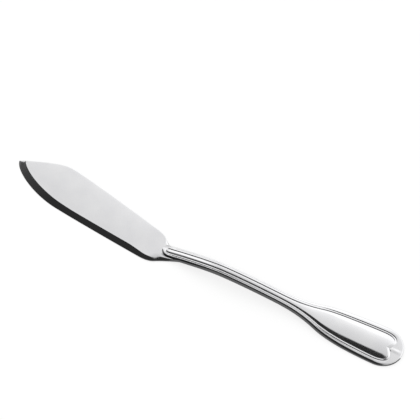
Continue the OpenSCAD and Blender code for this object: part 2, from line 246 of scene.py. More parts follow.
# The threads' turn, the lobes of the brace and the line in the middle of the field
TURN_SHARE = 0.62
LOBE_SHARES = (0.55, 0.24)
LOBE_DEPTH_SHARE = 0.65
BRACE_STRETCH = 1.5
SPINE_NOSE_SHARE = 0.4
SPINE_END_SHARE = 0.55
SPINE_GAP_SHARE = 1.5

# The domed field: how much of its fall is a shoulder and where that starts, on the stem and on the
# broad end, and where round the brace the shoulder runs out
FIELD_STEEP_SHARES = (0.68, 0.25)
FIELD_START_SHARES = (0.74, 0.59)
FIELD_SHOULDER_POWER = 1.3
FIELD_TURN_START = 3.4 * MM
FIELD_TURN_RUN = 2.8 * MM

# Round the brace, how far the ground under the threads falls to the plain lobe and the steps over
# which they wear, and the length over which the outer groove gets its full depth
BRACE_FALL_SHARE = 0.8
BRACE_WEAR_LEAD = 4
BRACE_WEAR_STEPS = 5
OUTER_GROOVE_RUN = 14 * MM

# The flat neck beside the stem, and the painted shade in the corner between them
NECK_FADE = 3
NECK_ROUND_SHARE = 0.75
LEAST_WIDTH = 0.1 * MM
SHOULDER_RUN = 2.5 * MM
CORNER_REACH = 2.4
CORNER_PAINTED_SHADE = (0.15, 0.2)
WALL_SHARES = (0.4, 0.2)
TONGUE_HALVINGS = 14


class Knife:
    """The knife's form, from the sizes in the sidebar. Plan places are measured from the front
    of the tongue, on the handle's centre line; place() moves a point into the knife's frame."""

    # Steps along the parts of half the handle's outline
    nose, stem, flare, swell, corner, lobe = 6, 18, 9, 9, 7, 8

    def __init__(self, scene):
        self.b = b = scene.knife_blade
        self.h = h = scene.knife_handle
        self.t = t = scene.knife_thread
        self.stem_at = self.nose
        self.seam_end_at = self.nose / 2
        self.flare_at = self.stem_at + self.stem
        self.swell_at = self.flare_at + self.flare
        self.corner_at = self.swell_at + self.swell
        self.lobe_at = self.corner_at + self.corner
        self.last_at = self.lobe_at + self.lobe
        self.seam_x = -b.neck_flat
        self.stem_half = h.stem_width / 2
        self.end_half = h.end_width / 2
        self.border = t.thread_width / 2 + t.groove_width
        self.turn_x = h.handle_length - t.brace_turn_setback
        self.round_x = h.handle_length - h.end_round_length
        self.lobe_x = h.handle_length - t.brace_setback
        self.brace_x = self.lobe_x - t.brace_point_depth
        self.landing_x = h.handle_length - h.landing_length
        self.shoulder_y = b.back_rise * SHOULDER_SHARE
        self.heel_neck_y = b.heel_drop * HEEL_NECK_SHARE
        self.middle = Vector(
            ((h.handle_length - b.blade_length) / 2, (b.back_rise - self.end_half) / 2, 0)
        )

    def place(self, p):
        return Vector((p[0], p[1], p[2])) - self.middle

    # The blade's plan
    def back_curves(self):
        def at(s):
            return Vector((-self.b.blade_length * s[0], self.b.back_rise * s[1]))

        lead = self.b.blade_length * SHOULDER_LEAD_SHARE
        slope = (self.shoulder_y - self.stem_half) * BACK_FILLET_POWER / self.h.back_fillet_length
        shoulder = Vector((self.seam_x, self.shoulder_y))
        start = shoulder + Vector((-lead, lead * slope))
        return (
            (self.point(), *map(at, BELLY_BACK_SHARES)),
            (at(BELLY_BACK_SHARES[2]), *map(at, LONG_BACK_SHARES)),
            (at(LONG_BACK_SHARES[2]), at(SHOULDER_SHARES), start, shoulder),
        )

    def edge_curves(self):
        def at(s):
            y = mix(self.b.point_rise, -self.b.heel_drop, s[1])
            return Vector((-self.b.blade_length * s[0], y))

        lead = self.b.blade_length * HEEL_LEAD_SHARE
        slope = (self.heel_neck_y - self.stem_half) * HEEL_FILLET_POWER / self.h.heel_fillet_length
        neck = Vector((self.seam_x, -self.heel_neck_y))
        start = neck - Vector((lead, lead * slope))
        return (
            (self.point(), *map(at, TIP_EDGE_SHARES)),
            (at(TIP_EDGE_SHARES[2]), *map(at, LONG_EDGE_SHARES)),
            (at(LONG_EDGE_SHARES[2]), at(HEEL_SHARES), start, neck),
        )

    def point(self):
        return Vector((-self.b.blade_length, self.b.point_rise))

    # The bevel: its width, the height of its edge and the fall of its face
    def ground_width(self, x):
        s = ease((-x / self.b.blade_length - BELLY_START_SHARE) / BELLY_RUN_SHARE)
        near_point = max(0.0, 1 - (x + self.b.blade_length) / self.b.point_run)
        width = mix(self.b.bevel_width, self.b.belly_bevel_width, s)
        return width * (1 - POINT_LOSS * near_point**2)

    def edge_height(self, x):
        s = ease(1 + (x - self.seam_x) / self.b.bevel_runout)
        return mix(self.b.edge_thickness, self.b.heel_edge_thickness, s)

    def bevel_slope(self, x):
        return (self.b.thickness - self.b.edge_thickness) / self.ground_width(x)

    def bevel_reach(self, x):
        return (self.b.thickness - self.edge_height(x)) / self.bevel_slope(x)

    def bevel_soft(self, x):
        s = ease((x + HEEL_SOFT_START) / HEEL_SOFT_RUN)
        return mix(self.b.bevel_soft, HEEL_SOFT_FACTOR * self.b.bevel_soft, s)

    def near_neck(self, x):
        """0 where the bevel is ground, 1 where it has become the rounding beside the neck."""
        return ease((x + NECK_START) / NECK_RUN)

    def bevel_fall(self, x, d):
        """How far the top lies under the face, at distance d from the cutting edge."""
        reach, slope, soft = self.bevel_reach(x), self.bevel_slope(x), self.bevel_soft(x)
        if d < reach - soft:
            ground = slope * (reach - d)
        else:
            ground = slope * max(0.0, reach + soft - d) ** 2 / (4 * soft)
        worn = self.neck_fall(self.b.thickness - self.edge_height(x), d, self.b.neck_round)
        return mix(ground, worn, self.near_neck(x))

    def neck_fall(self, drop, d, width):
        """Rounding beside the neck, at distance d from the outline."""
        return drop * max(0.0, 1 - d / width) ** 2

    def back_drop(self, d):
        """Rounding along the top of the back, at distance d from its outline."""
        s = 1 - limit(d / self.b.back_round)
        return self.b.back_fall * (1 - math.sqrt(1 - s * s))

    # The handle's side view
    def underside(self, x):
        h = self.h
        if x < h.arch_top:
            s = ease(limit((x - h.arch_start) / (h.arch_top - h.arch_start)) ** ARCH_BIAS)
        else:
            s = ease((self.landing_x - x) / (self.landing_x - h.arch_top))
        return h.arch_height * s

    def widening(self, x):
        """0 on the stem, 1 on the broad end."""
        run = self.turn_x - self.h.stem_length
        return ease(limit((x - self.h.stem_length) / run) ** THINNING_BIAS)

    def centre_height(self, x):
        """Height of the upper side over the centre line."""
        h = self.h
        swell = ease(x / (h.arch_top * TONGUE_SWELL_SHARE))
        step = (h.stem_thickness - self.b.thickness - h.tongue_rise) * (1 - swell)
        return self.underside(x) + mix(h.stem_thickness, h.end_thickness, self.widening(x)) - step

    def crown(self, x):
        return mix(self.t.stem_crown, self.t.end_crown, self.widening(x))

    def slant(self, x):
        """Slope of the threads and the rim away from the field: the stem's section is rounder."""
        return self.t.rim_slope * (1 - self.widening(x + SLOPE_LEAD))

    def rim_height(self, x):
        fall = self.slant(x) * (self.rim(x) + 2 * self.border)
        return self.centre_height(x) - self.crown(x) - fall

    def edge_drop(self, x):
        """Share of the edge's height that the rim's rounding takes."""
        return mix(*EDGE_DROP_SHARES, self.widening(x))

    # The handle's plan: i counts steps along half of its outline, from the nose to the end
    def nose_curve(self, inset):
        """Half of the tongue's rounded front, or of a line further in, which is blunter."""
        side = self.stem_half - inset
        tip = self.h.tongue_nose_length
        blunt = limit(inset / (self.stem_half * NOSE_BLUNT_SHARE))
        return (
            Vector((inset, 0)),
            Vector((inset, side * mix(*NOSE_SIDE_SHARES, blunt))),
            Vector((mix(inset, tip, mix(*NOSE_TIP_SHARES, blunt)), side)),
            Vector((tip, side)),
        )

    def plan_point(self, s):
        """A place on the flare, from shares of its length and of its growth in width."""
        x = mix(self.h.stem_length, self.turn_x, s[0])
        return Vector((x, mix(self.stem_half, self.end_half, s[1])))

    def end_share(self, i):
        return (i - self.corner_at) / (self.last_at - self.corner_at)

    def outline(self, i):
        if i <= self.stem_at:
            return bezier(self.nose_curve(0), i / self.nose)
        if i <= self.flare_at:
            s = ((i - self.stem_at) / self.stem) ** STEM_SPACING
            return Vector((mix(self.h.tongue_nose_length, self.h.stem_length, s), self.stem_half))
        if i <= self.swell_at:
            points = [self.plan_point(s) for s in FLARE_SHARES]
            return bezier(points, (i - self.flare_at) / self.flare)
        if i <= self.corner_at:
            points = [self.plan_point(s) for s in SWELL_SHARES]
            return bezier(points, (i - self.swell_at) / self.swell)
        t = self.end_share(i)
        if t < STRAIGHT_END_SHARE:
            return Vector((mix(self.turn_x, self.round_x, t / STRAIGHT_END_SHARE), self.end_half))
        a = math.radians(90) * (t - STRAIGHT_END_SHARE) / (1 - STRAIGHT_END_SHARE)
        x = self.round_x + self.h.end_round_length * math.sin(a)
        return Vector((x, self.end_half * math.cos(a)))

    def rim(self, x):
        """Width of the rim outside the threads."""
        run = self.turn_x - self.h.stem_length
        s = ease((x - self.h.stem_length) / (run * RIM_GROWTH_SHARE))
        return mix(self.t.stem_rim, self.t.end_rim, s)

    def edge_round(self, x):
        """Width of the rounding along the rim's outer edge."""
        t = self.t
        shares = mix(t.stem_edge_round / t.stem_rim, t.end_edge_round / t.end_rim, self.widening(x))
        end = ease((x - self.turn_x) / (self.h.end_round_length * END_ROUND_SHARE))
        return self.rim(x) * shares * (1 - END_ROUND_LOSS * end)

    def thread_inset(self, x):
        return self.rim(x) + self.border

    def beside_thread(self, i, offset):
        """Line beside the middle of the thread, offset towards the outline."""
        if i <= self.stem_at:
            return bezier(self.nose_curve(self.thread_inset(0) - offset), i / self.nose)
        if i <= self.corner_at:
            p = self.outline(i)
            return Vector((p.x, p.y - self.thread_inset(p.x) + offset))
        turn = Vector((self.turn_x, self.end_half - self.thread_inset(self.turn_x)))
        lobe = Vector((self.lobe_x, self.t.brace_spread / 2))
        if i <= self.lobe_at:
            curve = (
                turn,
                Vector((mix(turn.x, lobe.x, TURN_SHARE), turn.y)),
                Vector((lobe.x, mix(lobe.y, turn.y, TURN_SHARE))),
                lobe,
            )
            s = (i - self.corner_at) / self.corner
            return bezier(curve, s) + offset * turned(heading(curve, s))
        curve = (
            lobe,
            Vector((lobe.x, lobe.y * LOBE_SHARES[0])),
            Vector(
                (lobe.x - self.t.brace_point_depth * LOBE_DEPTH_SHARE, lobe.y * LOBE_SHARES[1])
            ),
            Vector((self.brace_x, 0)),
        )
        s = (i - self.lobe_at) / self.lobe
        out = turned(heading(curve, s))
        stretch = min(BRACE_STRETCH, 1 / max(out.x, 1 / BRACE_STRETCH))
        return bezier(curve, s) + Vector((offset * stretch, 0))

    def spine(self, i):
        """Place on the centre line from which the section at step i starts."""
        tip = self.h.tongue_nose_length
        if i <= self.stem_at:
            start = mix(self.thread_inset(0) + self.border, tip, SPINE_NOSE_SHARE)
            return Vector((mix(start, tip, i / self.nose), 0))
        if i <= self.corner_at:
            return Vector((self.outline(i).x, 0))
        end = self.brace_x - self.border * SPINE_GAP_SHARE
        return Vector((mix(self.turn_x, end, SPINE_END_SHARE * self.end_share(i)), 0))

    def rib(self, p):
        """Height of the short rib on the plain lobe."""
        s = (p.x - self.brace_x) / (self.h.handle_length - self.brace_x)
        across = ease(1 - abs(p.y) / (self.t.rib_width / 2))
        return self.t.rib_height * across * ease(s / 0.5) * ease((1 - s) / 0.5)

    def field_height(self, i, p, f):
        """The field is nearly flat in its middle and falls in a shoulder to the threads. Round
        the brace the fall goes by the distance from the centre line, and the threads climb."""
        wide = self.widening(p.x)
        steep, start = mix(*FIELD_STEEP_SHARES, wide), mix(*FIELD_START_SHARES, wide)
        if i > self.corner_at:
            f = limit(p.y / (self.end_half - self.thread_inset(self.turn_x) - self.border))
            steep *= 1 - ease((p.x - self.turn_x - FIELD_TURN_START) / FIELD_TURN_RUN)
        shoulder = max(0.0, (f - start) / (1 - start)) ** FIELD_SHOULDER_POWER
        return self.centre_height(p.x) - self.crown(p.x) * mix(f * f, shoulder, steep)

    def border_height(self, i, p, offset):
        """Height of the ground that the threads stand on; round the brace it goes down from the
        field towards the plain lobe."""
        field = self.field_height(i, p, 1)
        plain = self.centre_height(p.x) - self.crown(p.x)
        over = offset + self.border
        down = BRACE_FALL_SHARE * ease(over / (2 * self.border))
        return mix(field, plain, down) - self.slant(p.x) * over

    def brace_share(self, i):
        """How much of their relief the threads keep towards the brace."""
        s = ease((i - self.lobe_at + BRACE_WEAR_LEAD) / BRACE_WEAR_STEPS)
        return mix(1, self.t.brace_worn, s)

    def nose_fade(self, i):
        """0 at the tongue's nose, 1 on the stem."""
        return ease((i / self.stem_at - NOSE_FADE[0]) / NOSE_FADE[1])

    # The flat neck beside the stem
    def hollow(self, x, side):
        """How far the neck stands out beside the stem: 1 is the back's side, -1 the heel's."""
        if side > 0:
            start, run, power = self.shoulder_y, self.h.back_fillet_length, BACK_FILLET_POWER
        else:
            start, run, power = self.heel_neck_y, self.h.heel_fillet_length, HEEL_FILLET_POWER
        return (start - self.stem_half) * (1 - limit((x - self.seam_x) / run)) ** power

    def neck_share(self, x, side):
        """1 where the neck stands out beside the stem, 0 further on."""
        run = self.h.back_fillet_length if side > 0 else self.h.heel_fillet_length
        return ease(NECK_FADE * (1 - (x - self.seam_x) / run))

    def corner_painted_shade(self, i, x, side):
        """Painted shade in the corner between the stem and the neck: on the back's side as far as
        the neck stands out, on the heel's side further along the stem.
        """
        run = self.h.heel_fillet_length
        share = self.neck_share(x, side) if side > 0 else ease((CORNER_REACH * run - x) / run)
        return self.nose_fade(i) * share

    def tongue_half(self, x):
        """Half the tongue's width at x."""
        if x <= 0:
            return 0.0
        curve = self.nose_curve(0)
        low, high = 0.0, 1.0
        for _ in range(TONGUE_HALVINGS):
            half = (low + high) / 2
            low, high = (half, high) if bezier(curve, half).x < x else (low, half)
        return bezier(curve, low).y

    def neck_height(self, p, side):
        """Height of the neck's face beside the tongue: it falls in a rounding to its edge."""
        thick = self.b.thickness
        reach = self.stem_half + self.hollow(p.x, side)
        free = reach - self.tongue_half(p.x)
        width = max(min(self.b.neck_round, NECK_ROUND_SHARE * free), LEAST_WIDTH)
        d = reach - p.y
        if side < 0:
            return thick - self.neck_fall(thick - self.b.heel_edge_thickness, d, width)
        edge = mix(thick, self.h.shoulder_edge, ease((p.x - self.seam_x) / SHOULDER_RUN))
        return thick - self.neck_fall(thick - edge, d, width) - self.back_drop(d)

    def neck_plan(self, i, side):
        """Outline of the neck at step i, from the middle of the seam to the end of its fillet."""
        if i > self.stem_at:
            p = self.outline(i)
            return Vector((p.x, p.y + self.hollow(p.x, side)))
        if i <= self.seam_end_at:
            reach = self.stem_half + self.hollow(self.seam_x, side)
            return Vector((self.seam_x, reach * i / self.seam_end_at))
        s = (i - self.seam_end_at) / (self.stem_at - self.seam_end_at)
        x = mix(self.seam_x, self.h.tongue_nose_length, s)
        return Vector((x, self.stem_half + self.hollow(x, side)))


def groove_share(k, i, x, offset):
    """How much of its depth a groove has at step i: it starts behind the tongue's nose, the outer
    one is worn along the stem, and both are along the brace."""
    t = k.t
    start = t.outer_groove_start if offset > 0 else t.inner_groove_start
    deep = ease((x - start) / t.groove_fade) * k.nose_fade(i) * k.brace_share(i)
    if offset > 0:
        full = ease(1 + (x - t.outer_groove_full) / OUTER_GROOVE_RUN)
        deep *= mix(t.outer_groove_worn, 1, full)
    return deep


def groove_form(t, offset):
    """Round hollow of a groove, 0 at its sides and 1 in its middle."""
    s = limit((abs(offset) - t.thread_width / 2) / t.groove_width)
    return 0.5 * (1 - math.cos(2 * math.pi * s))


def thread_height(k, i, x, offset):
    """Height beside the middle of the thread: two rounded grooves with the thread between."""
    t = k.t
    if abs(offset) >= t.thread_width / 2:
        return -t.groove_depth * groove_share(k, i, x, offset) * groove_form(t, offset)
    round_top = t.thread_crown * ease((x - t.inner_groove_start) / t.groove_fade) * k.brace_share(i)
    return round_top * math.cos(math.pi * offset / t.thread_width)


# How finely the handle's section is laid out, and the sections between two steps of its outline
FIELD_LINES = 24
GROOVE_LINES = 12
THREAD_LINES = 6
RIM_LINES = 6
ROUND_LINES = 12
WEB_LINES = 4
WEB_ROUND_LINES = 8
FOOT_LINES = 5
UNDER_LINES = 4
STEPS_BETWEEN = 6
STEP_SLACK = 1e-6


def border_offsets(t):
    """Places across the border, from its inner to its outer edge, closest in the grooves."""
    edges = (-t.thread_width / 2 - t.groove_width, -t.thread_width / 2)
    groove = [mix(*edges, n / GROOVE_LINES) for n in range(GROOVE_LINES)]
    thread = [mix(edges[1], -edges[1], n / THREAD_LINES) for n in range(THREAD_LINES)]
    return groove + thread + [-edges[1]] + [-x for x in reversed(groove[1:])]


def neck_side(k, i, side):
    """Points of the side under the rim. Where the flat neck stands out they go along its face,
    over its rounded edge and down; further on they go straight down the stem's side."""
    edge, out = k.outline(i), k.neck_plan(i, side)
    web = k.neck_share(out.x, side)
    radius = k.b.back_round if side > 0 else k.b.back_round / 2
    inner = out if i < k.seam_end_at - STEP_SLACK else out - Vector((0, radius))
    tall = k.rim_height(edge.x) - k.underside(edge.x)
    points = []

    def add(plain_share, p):
        points.append((mix(edge, p, web), mix(tall * plain_share, k.neck_height(p, side), web)))

    for n in range(WEB_LINES + 1):
        s = n / WEB_LINES
        add(mix(1 - k.edge_drop(edge.x), WALL_SHARES[0], s), mix(edge, inner, s))
    for n in range(1, WEB_ROUND_LINES + 1):
        s = math.sin(math.radians(90) * n / WEB_ROUND_LINES)
        add(mix(*WALL_SHARES, n / WEB_ROUND_LINES), mix(inner, out, s))
    way = (k.spine(i) - edge).normalized() if i > k.stem_at else Vector((0, -1))
    low = k.h.under_round * (1 - web)
    for n in range(FOOT_LINES + 1):
        a = math.radians(90) * n / FOOT_LINES
        p = out + way * low * (1 - math.cos(a))
        points.append((p, tall * WALL_SHARES[1] * (1 - web) * (1 - math.sin(a))))
    foot = points[-1][0]
    middle = Vector((foot.x if i > k.stem_at else mix(foot.x, k.spine(i).x, 0.5), 0))
    for n in range(1, UNDER_LINES + 1):
        points.append((mix(foot, middle, n / UNDER_LINES), 0))
    return [(p, k.underside(p.x) + z) for p, z in points]


def half_section(k, i, side):
    """One half of the handle's section at step i, from the middle of its top, over the rim and
    the neck, to the middle of its underside, and the painted shade of each point, which also
    dulls the polish: in a groove, where the stem's side meets the flat neck, or in the corner
    between the stem and the neck."""
    t = k.t
    line, deep = [], []
    middle, lip = k.spine(i), k.beside_thread(i, -k.border)
    for n in range(FIELD_LINES):
        f = n / FIELD_LINES
        p = mix(middle, lip, f)
        line.append((p, k.field_height(i, p, f)))
    for offset in border_offsets(t):
        p = k.beside_thread(i, offset)
        z = thread_height(k, i, p.x, offset)
        # Painted shade in the grooves, darkest in their middle and where they are deepest
        dark = groove_form(t, offset) ** 0.5 * groove_share(k, i, p.x, offset) ** 2
        deep.append((len(line), dark))
        line.append((p, k.border_height(i, p, offset) + z))
    lip, edge = k.beside_thread(i, k.border), k.outline(i)
    inward = (lip - edge).normalized()
    fall = edge + inward * k.edge_round(edge.x)
    lip_z = k.border_height(i, lip, k.border)
    fall_z = k.rim_height(fall.x) + k.slant(fall.x) * k.edge_round(edge.x)
    for n in range(RIM_LINES):
        s = n / RIM_LINES
        p = mix(lip, fall, s)
        line.append((p, mix(lip_z, fall_z, s) + 4 * s * (1 - s) * t.rim_crown + k.rib(p)))
    web = k.neck_share(k.neck_plan(i, side).x, side)
    for n in range(ROUND_LINES):
        a = math.radians(90) * n / ROUND_LINES
        p = edge + inward * k.edge_round(edge.x) * (1 - math.sin(a))
        tall = k.rim_height(p.x) - k.underside(p.x)
        drop = mix(tall * k.edge_drop(p.x), tall - k.b.thickness, web)
        rise = k.slant(p.x) * k.edge_round(edge.x) * (1 - math.sin(a))
        # Painted shade over the rim's rounding, in the corner between the stem and the neck
        dark = ease((n / ROUND_LINES - CORNER_PAINTED_SHADE[0]) / CORNER_PAINTED_SHADE[1])
        deep.append((len(line), k.corner_painted_shade(i, edge.x, side) * dark))
        line.append((p, k.rim_height(p.x) + rise + k.rib(p) - drop * (1 - math.cos(a))))
    # Painted shade where the stem's side meets the flat neck
    deep.append((len(line), web * k.nose_fade(i)))
    line += neck_side(k, i, side)
    dull_and_painted_shade = [0.0] * len(line)
    for n, s in deep:
        dull_and_painted_shade[n] = s
    return [Vector((p.x, p.y * side, z)) for p, z in line], dull_and_painted_shade


# The distance within which points are joined, and the turn in degrees from which an edge is crisp
MERGE_DISTANCE = 1e-6
HANDLE_CRISP = 40
BLADE_CRISP = 15


def wrap_grid(name, rings, dull_and_painted_shade=None):
    """Adds a grid and lays it round the form, one row of it along each ring of points; the edges
    of the grid that meet there are then joined. The last argument gives each point its painted
    shade, which also dulls the polish, from 0 to 1."""
    bpy.ops.object.select_all(action="DESELECT")
    rows, columns = len(rings), len(rings[0])
    bpy.ops.mesh.primitive_grid_add(x_subdivisions=rows - 1, y_subdivisions=columns - 1, size=1)
    piece = bpy.context.object
    piece.name = piece.data.name = name
    depth = piece.data.attributes.new("dull_and_painted_shade", "FLOAT", "POINT").data
    for v in piece.data.vertices:
        row, column = round((v.co.x + 0.5) * (rows - 1)), round((v.co.y + 0.5) * (columns - 1))
        v.co = rings[row][column]
        depth[v.index].value = dull_and_painted_shade[row][column] if dull_and_painted_shade else 0.0
    bpy.ops.object.mode_set(mode="EDIT")
    bpy.ops.mesh.select_all(action="SELECT")
    bpy.ops.mesh.remove_doubles(threshold=MERGE_DISTANCE)
    bpy.ops.mesh.select_all(action="DESELECT")
    bpy.ops.object.mode_set(mode="OBJECT")
    return piece


def close_and_polish(piece, crisp):
    """Fills an open end, turns the faces outwards and smooths all edges that turn by less than
    crisp degrees."""
    bpy.ops.object.mode_set(mode="EDIT")
    bpy.ops.mesh.select_mode(type="EDGE")
    bpy.ops.mesh.select_non_manifold(
        extend=False,
        use_wire=False,
        use_multi_face=False,
        use_non_contiguous=False,
        use_verts=False,
    )
    if piece.data.total_edge_sel:
        bpy.ops.mesh.edge_face_add()
    bpy.ops.mesh.select_all(action="SELECT")
    bpy.ops.mesh.normals_make_consistent(inside=False)
    bpy.ops.mesh.select_all(action="DESELECT")
    bpy.ops.object.mode_set(mode="OBJECT")
    bpy.ops.object.shade_smooth_by_angle(angle=math.radians(crisp))


class KNIFE_OT_add_handle(bpy.types.Operator):
    """Adds the arched handle with its thread border, brace and flat neck"""

    bl_idname = "knife.add_handle"
    bl_label = "Add handle"

    def execute(self, context):
        k = Knife(context.scene)
        rings, dull_and_painted_shade = [], []
        for n in range(k.last_at * STEPS_BETWEEN + 1):
            back, back_painted_shade = half_section(k, n / STEPS_BETWEEN, 1)
            heel, heel_painted_shade = half_section(k, n / STEPS_BETWEEN, -1)
            rings.append([k.place(p) for p in back + heel[-2::-1]])
            # The painted shade of each point, on both halves of the section
            dull_and_painted_shade.append(back_painted_shade + heel_painted_shade[-2::-1])
        piece = wrap_grid("handle_polished", rings, dull_and_painted_shade)
        close_and_polish(piece, HANDLE_CRISP)
        piece.data.materials.append(polished_stainless_steel(context.scene.knife_finish))
        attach(piece, "root")
        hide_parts("handle")
        return {"FINISHED"}


# How finely the blade is laid out
BLADE_ROWS = 160
FACE_LINES = 16
BEVEL_LINES = 5
ARRIS_LINES = 10
BACK_LINES = 8
UNDER_ROUND_LINES = 3
FINE_STEPS = 60
ROW_SPACING = 1.25
HALVINGS = 16

# Where the rounding of the back turns square to the neck, the largest share of the width that it
# takes, the reach of the turn round the bevel's upper edge, and where the face's crown runs out
SQUARE_START = 3 * MM
SQUARE_RUN = 2 * MM
ROUND_LIMIT = 0.3
TURN_REACH = 1.4
TURN_LIMITS = (0.9, 0.95)
CROWN_RUN = 14 * MM
EDGE_OVERRUN = 10 * MM


def along(curves, count):
    """Points at even steps along joined curves, closest at their start, each with its heading,
    and the fine line through which they run."""
    fine = [bezier(c, n / FINE_STEPS) for c in curves for n in range(FINE_STEPS)]
    fine.append(curves[-1][3])
    run = [0.0]
    for a, b in zip(fine, fine[1:]):
        run.append(run[-1] + (b - a).length)
    points, at = [], 0
    for n in range(count + 1):
        s = (n / count) ** ROW_SPACING * run[-1]
        while at < len(fine) - 2 and run[at + 1] < s:
            at += 1
        f = limit((s - run[at]) / (run[at + 1] - run[at]))
        points.append((mix(fine[at], fine[at + 1], f), (fine[at + 1] - fine[at]).normalized()))
    return points, fine


def distance_to(line, p):
    """Distance from p to a line of points."""
    best = 1.0
    for a, b in zip(line, line[1:]):
        way = b - a
        s = limit((p - a).dot(way) / way.length_squared)
        best = min(best, (a + way * s - p).length)
    return best


def share_at(line, start, across, distance):
    """How far one has to go across the blade to be at a distance from its cutting edge."""
    if distance_to(line, start + across) < distance:
        return 1.0
    low, high = 0.0, 1.0
    for _ in range(HALVINGS):
        half = (low + high) / 2
        near = distance_to(line, start + across * half) < distance
        low, high = (half, high) if near else (low, half)
    return low


def blade_section(k, edge, back, line):
    """A ring round the blade from the middle of its underside, over the ground edge, the face and
    the rounded back, to the middle of its underside again."""
    b = k.b
    (e, _), (o, o_way) = edge, back
    square = ease((e.x + SQUARE_START) / SQUARE_RUN)
    o_in = mix(-turned(o_way), Vector((0, -1)), square).normalized()
    across = o - e
    round_share = min(b.back_round / across.length, ROUND_LIMIT)
    soft = mix(k.bevel_soft(e.x), b.neck_round / 2, k.near_neck(e.x))
    reach = k.bevel_reach(e.x)
    turn_in = share_at(line, e, across, max(reach - TURN_REACH * soft, LEAST_WIDTH))
    turn_out = share_at(line, e, across, reach + TURN_REACH * soft)
    last = 1 - round_share
    turn_in, turn_out = min(turn_in, last * TURN_LIMITS[0]), min(turn_out, last * TURN_LIMITS[1])
    shares = [turn_in * n / BEVEL_LINES for n in range(BEVEL_LINES)]
    shares += [mix(turn_in, turn_out, n / ARRIS_LINES) for n in range(ARRIS_LINES)]
    shares += [mix(turn_out, last, n / FACE_LINES) for n in range(FACE_LINES)]
    calm = ease((k.seam_x - e.x) / CROWN_RUN) * across.length / (b.back_rise + b.heel_drop)

    def height(s, p):
        f = limit((s - turn_out) / (1 - turn_out))
        d = distance_to(line, p)
        return b.thickness + calm * b.face_crown * 4 * f * (1 - f) - k.bevel_fall(p.x, d)

    top = [(e + across * s, height(s, e + across * s)) for s in shares]
    radius = round_share * across.length
    for n in range(BACK_LINES + 1):
        a = math.radians(90) * n / BACK_LINES
        p = o + o_in * radius * (1 - math.sin(a))
        fall = b.back_fall * (radius / b.back_round) * (1 - math.cos(a))
        top.append((p, height(1 - round_share * (1 - math.sin(a)), p) - fall))
    under = min(b.under_round, radius)
    for n in range(UNDER_ROUND_LINES + 1):
        a = math.radians(90) * n / UNDER_ROUND_LINES
        top.append((o + o_in * under * (1 - math.cos(a)), under * (1 - math.sin(a))))
    foot = top[-1][0]
    middle = mix(e, o, 0.5)
    start = [(middle, 0), (mix(middle, e, 0.5), 0), (e, 0)]
    ring = [*start, *top, (mix(foot, middle, 0.5), 0), (middle, 0)]
    return [k.place(Vector((p.x, p.y, z))) for p, z in ring]


class KNIFE_OT_add_blade(bpy.types.Operator):
    """Adds the flat blade with its ground cutting edge"""

    bl_idname = "knife.add_blade"
    bl_label = "Add blade"

    def execute(self, context):
        k = Knife(context.scene)
        edges, line = along(k.edge_curves(), BLADE_ROWS)
        backs, _ = along(k.back_curves(), BLADE_ROWS)
        before = line[0] - (line[1] - line[0]).normalized() * EDGE_OVERRUN
        after = line[-1] + (line[-1] - line[-2]).normalized() * EDGE_OVERRUN
        line = [before, *line, after]
        rings = [blade_section(k, e, o, line) for e, o in zip(edges[1:], backs[1:])]
        tip = k.place(Vector((*k.point(), 0)))
        point = [Vector((tip.x, tip.y, min(p.z, k.b.edge_thickness))) for p in rings[0]]
        piece = wrap_grid("blade_polished", [point, *rings])
        close_and_polish(piece, BLADE_CRISP)
        piece.data.materials.append(polished_stainless_steel(context.scene.knife_finish))
        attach(piece, "root")
        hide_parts("blade")
        return {"FINISHED"}


WHITE = "#FFFFFF"


def linear(text):
    """An sRGB hex value as linear red, green, blue and 1."""
    values = [int(text[n : n + 2], 16) / 255 for n in (1, 3, 5)]
    return (*[v / 12.92 if v <= 0.04045 else ((v + 0.055) / 1.055) ** 2.4 for v in values], 1.0)


def add_node(tree, kind, settings=None, **inputs):
    """Adds a shader node: settings are its own properties, inputs its sockets' values or links,
    by name or by number."""
    node = tree.nodes.new("ShaderNode" + kind)
    for name, value in (settings or {}).items():
        setattr(node, name, value)
    for name, value in inputs.items():
        numbered = name[1:].isdigit()
        socket = node.inputs[int(name[1:]) if numbered else name.replace("_", " ")]
        if isinstance(value, bpy.types.NodeSocket):
            tree.links.new(value, socket)
        else:
            socket.default_value = value
    return node


def new_material(name):
    """The material of that name, and its empty node tree if it is new."""
    material = bpy.data.materials.get(name)
    if material:
        return material, None
    material = bpy.data.materials.new(name)
    material.use_nodes = True
    material.node_tree.nodes.clear()
    return material, material.node_tree


# How wide a buffing line is for its length, and how much blurrier the steel is where it's dull
LINE_WIDTH_SHARE = 0.04
DULL_BLUR = 1.5


